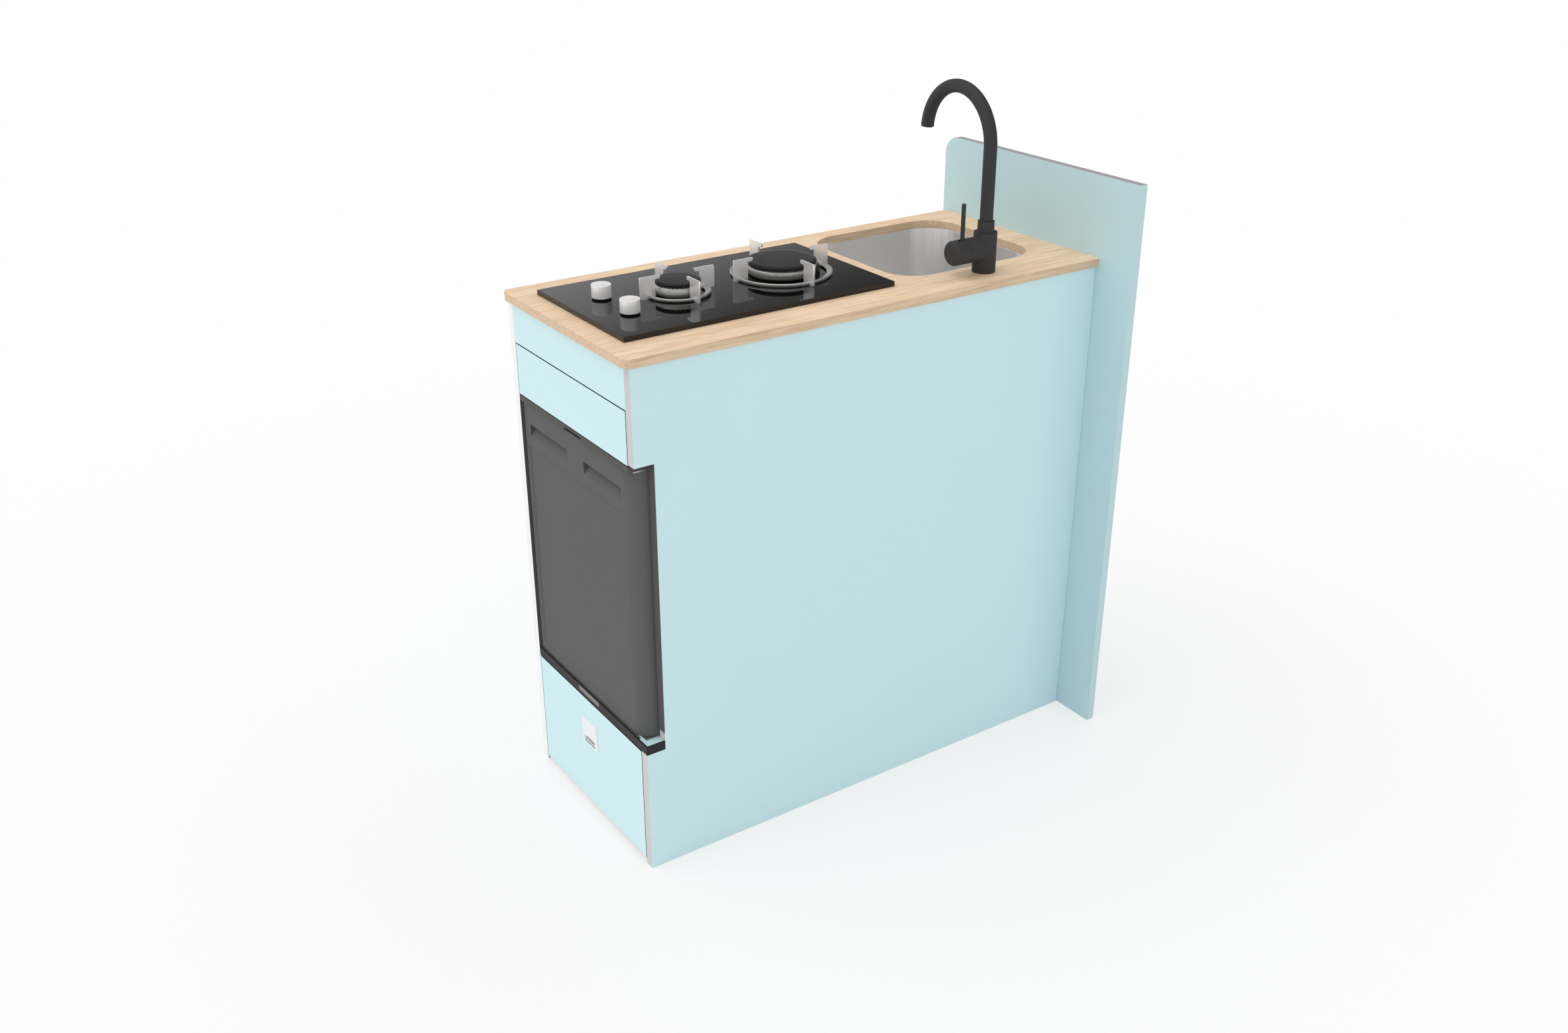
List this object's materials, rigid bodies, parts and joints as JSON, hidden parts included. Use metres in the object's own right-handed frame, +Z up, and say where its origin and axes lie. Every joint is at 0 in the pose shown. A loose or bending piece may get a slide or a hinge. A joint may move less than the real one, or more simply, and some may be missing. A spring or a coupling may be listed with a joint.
{
  "type": "kitchenette unit",
  "caption": "Narrow deep kitchen unit with a gas hob, undermounted basin, gooseneck mixer tap, built-in fridge and two drawers.",
  "frame": {"origin": "bottom centre of the unit's bounding box, on the floor", "axes": "+Z up, -Y to the front with the fridge door and drawers, +X to the right of someone facing the front"},
  "size_m": [0.516, 0.981, 1.2469],
  "materials": {
    "blue_panel": "laminated board, light blue, satin",
    "oak": "oiled oak, satin",
    "plywood": "raw birch ply, matt",
    "black_trim": "satin",
    "grey_plastic": "fine textured, matt",
    "fridge_grey": "matt",
    "white_plastic": "satin",
    "clear_plastic": "gloss",
    "rubber": "matt",
    "zinc_steel": "bright zinc",
    "steel": "brushed",
    "sheet_steel": "matt",
    "aluminium": "satin",
    "chrome": "polished",
    "hob_glass": "polished black glass",
    "burner_metal": "satin grey",
    "black_enamel": "gloss enamel",
    "ceramic": "satin",
    "brass": "satin",
    "copper": "satin",
    "tap_black": "matt charcoal"
  },
  "bodies": {
    "carcass": {"side_panel_right": "blue_panel", "side_panel_left": "blue_panel", "end_panel": "blue_panel", "bottom_board": "plywood", "fridge_board": "blue_panel", "drawer_deck": "plywood", "partition_board": "plywood", "fascia_rail": "blue_panel", "worktop": "oak", "niche_trim": "black_trim", "trim_insert": "grey_plastic", "runner_rails": "zinc_steel", "latch_strike": "zinc_steel", "fridge_cabinet": "fridge_grey", "fridge_liner": "white_plastic", "fridge_frame": "grey_plastic", "door_hinges": "zinc_steel", "wire_shelf": "chrome", "freezer_box": "aluminium", "compressor": "sheet_steel", "condenser": "aluminium", "hob_glass": "hob_glass", "hob_tray": "sheet_steel", "burner_bodies": "burner_metal", "gas_valves": "brass", "gas_pipe": "copper", "igniters": "ceramic", "sink_basin": "steel", "sink_clips": "zinc_steel", "waste_fitting": "steel", "waste_trap": "clear_plastic", "tap_body": "tap_black", "tap_fixing": "zinc_steel"},
    "upper_drawer": {"upper_drawer_front": "blue_panel", "upper_drawer_box": "plywood", "upper_runner_slides": "zinc_steel"},
    "upper_middles": {"upper_runner_middles": "zinc_steel"},
    "lower_drawer": {"lower_drawer_front": "blue_panel", "lower_drawer_box": "plywood", "lower_runner_slides": "zinc_steel", "latch_housing": "white_plastic"},
    "lower_middles": {"lower_runner_middles": "zinc_steel"},
    "latch_paddle": {"latch_paddle": "ceramic"},
    "latch_bolt": {"latch_bolt": "zinc_steel"},
    "fridge_door": {"door_shell": "fridge_grey", "door_liner": "white_plastic", "door_gasket": "rubber"},
    "door_latch": {"door_latch": "grey_plastic"},
    "freezer_flap": {"freezer_flap": "clear_plastic"},
    "thermostat_knob": {"thermostat_knob": "white_plastic"},
    "burner_cap_small": {"burner_cap_small": "black_enamel"},
    "burner_cap_large": {"burner_cap_large": "black_enamel"},
    "pan_support_small": {"pan_support_small": "steel"},
    "pan_support_large": {"pan_support_large": "steel"},
    "knob_small": {"knob_small": "chrome"},
    "knob_large": {"knob_large": "chrome"},
    "strainer_basket": {"strainer_basket": "steel"},
    "tap_spout": {"tap_spout": "tap_black"},
    "tap_mixer_cap": {"tap_mixer_cap": "tap_black"},
    "tap_lever": {"tap_lever": "tap_black"}
  },
  "joints": [
    {"name": "upper_drawer_slide", "type": "slide", "parent": "carcass", "child": "upper_drawer", "axis": [0, -1, 0], "range_m": [0, 0.4]},
    {"name": "upper_middle_slide", "type": "slide", "parent": "carcass", "child": "upper_middles", "axis": [0, -1, 0], "range_m": [0, 0.2]},
    {"name": "lower_drawer_slide", "type": "slide", "parent": "carcass", "child": "lower_drawer", "axis": [0, -1, 0], "range_m": [0, 0.4]},
    {"name": "lower_middle_slide", "type": "slide", "parent": "carcass", "child": "lower_middles", "axis": [0, -1, 0], "range_m": [0, 0.2]},
    {"name": "latch_paddle_turn", "type": "hinge", "parent": "lower_drawer", "child": "latch_paddle", "pos_m": [-0.041, -0.4705, 0.158], "axis": [1, 0, 0], "range_deg": [0, 22]},
    {"name": "latch_bolt_slide", "type": "slide", "parent": "lower_drawer", "child": "latch_bolt", "axis": [0, 0, 1], "range_m": [0, 0.00383]},
    {"name": "fridge_door_hinge", "type": "hinge", "parent": "carcass", "child": "fridge_door", "pos_m": [0.1385, -0.4555, 0.495], "axis": [0, 0, 1], "range_deg": [0, 110]},
    {"name": "door_latch_slide", "type": "slide", "parent": "fridge_door", "child": "door_latch", "axis": [0, 0, 1], "range_m": [0, 0.0045]},
    {"name": "freezer_flap_hinge", "type": "hinge", "parent": "carcass", "child": "freezer_flap", "pos_m": [-0.04, -0.2835, 0.709], "axis": [-1, 0, 0], "range_deg": [0, 80]},
    {"name": "thermostat_turn", "type": "hinge", "parent": "carcass", "child": "thermostat_knob", "pos_m": [0.1205, -0.3245, 0.5535], "axis": [-1, 0, 0], "range_deg": [0, 270]},
    {"name": "small_cap_lift", "type": "slide", "parent": "carcass", "child": "burner_cap_small", "axis": [0, 0, 1], "range_m": [0, 0.005]},
    {"name": "large_cap_lift", "type": "slide", "parent": "carcass", "child": "burner_cap_large", "axis": [0, 0, 1], "range_m": [0, 0.005]},
    {"name": "small_support_lift", "type": "slide", "parent": "carcass", "child": "pan_support_small", "axis": [0, 0, 1], "range_m": [0, 0.15]},
    {"name": "large_support_lift", "type": "slide", "parent": "carcass", "child": "pan_support_large", "axis": [0, 0, 1], "range_m": [0, 0.15]},
    {"name": "small_knob_turn", "type": "hinge", "parent": "carcass", "child": "knob_small", "pos_m": [-0.0879, -0.3865, 0.955], "axis": [0, 0, -1], "range_deg": [-270, 0]},
    {"name": "large_knob_turn", "type": "hinge", "parent": "carcass", "child": "knob_large", "pos_m": [0.0073, -0.3865, 0.955], "axis": [0, 0, -1], "range_deg": [-270, 0]},
    {"name": "strainer_lift", "type": "slide", "parent": "carcass", "child": "strainer_basket", "axis": [0, 0, 1], "range_m": [0, 0.16]},
    {"name": "spout_swivel", "type": "hinge", "parent": "carcass", "child": "tap_spout", "pos_m": [0.12, 0.2505, 1.01], "axis": [0, 0, 1], "range_deg": [-90, 90]},
    {"name": "mixer_turn", "type": "hinge", "parent": "carcass", "child": "tap_mixer_cap", "pos_m": [0.12, 0.1895, 0.976], "axis": [0, -1, 0], "range_deg": [-45, 45]},
    {"name": "lever_tilt", "type": "hinge", "parent": "tap_mixer_cap", "child": "tap_lever", "pos_m": [0.12, 0.1985, 0.976], "axis": [1, 0, 0], "range_deg": [0, 14]}
  ],
  "couplings": [
    {"joint": "upper_middle_slide", "follows": "upper_drawer_slide", "ratio": 0.5},
    {"joint": "lower_middle_slide", "follows": "lower_drawer_slide", "ratio": 0.5},
    {"joint": "latch_paddle_turn", "follows": "latch_bolt_slide", "rad_per_m": 100}
  ]
}
